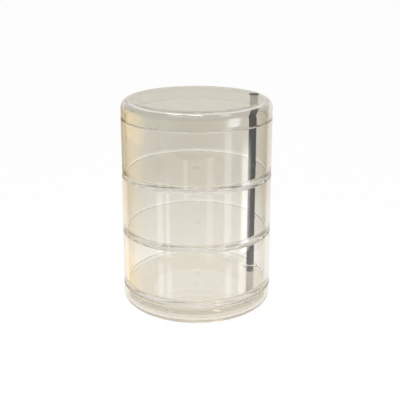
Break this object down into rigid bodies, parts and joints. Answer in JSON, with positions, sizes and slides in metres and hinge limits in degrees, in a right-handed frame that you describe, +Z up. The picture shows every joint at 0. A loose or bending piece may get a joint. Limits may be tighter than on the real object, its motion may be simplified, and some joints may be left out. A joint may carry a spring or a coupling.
{
  "type": "rotating makeup organizer",
  "caption": "Clear round box of stacked trays under a lid. The trays and the lid swing sideways round an upright steel rod near the wall.",
  "frame": {"origin": "middle of the base's underside, on the axis of the stacked round trays", "axes": "+Z up through the trays to the lid, +X from the middle towards the rod"},
  "size_m": [0.1006, 0.1006, 0.1393],
  "materials": {
    "clear_plastic": "clear, glossy, with a faint warm tint",
    "polished_steel": "polished"
  },
  "bodies": {
    "stand": {"base": "clear_plastic", "base_deck": "clear_plastic", "pivot_rod": "polished_steel", "rod_cap": "polished_steel"},
    "lower_tray": {"lower_tray": "clear_plastic"},
    "middle_tray": {"middle_tray": "clear_plastic"},
    "upper_tray": {"upper_tray": "clear_plastic"},
    "lid": {"lid": "clear_plastic"}
  },
  "joints": [
    {"name": "lower_tray_swivel", "type": "hinge", "parent": "stand", "child": "lower_tray", "pos_m": [0.0403, 0, 0.0125], "axis": [0, 0, 1], "continuous": true},
    {"name": "middle_tray_swivel", "type": "hinge", "parent": "stand", "child": "middle_tray", "pos_m": [0.0403, 0, 0.05], "axis": [0, 0, 1], "continuous": true},
    {"name": "upper_tray_swivel", "type": "hinge", "parent": "stand", "child": "upper_tray", "pos_m": [0.0403, 0, 0.0884], "axis": [0, 0, 1], "continuous": true},
    {"name": "lid_swivel", "type": "hinge", "parent": "stand", "child": "lid", "pos_m": [0.0403, 0, 0.1268], "axis": [0, 0, 1], "continuous": true}
  ]
}
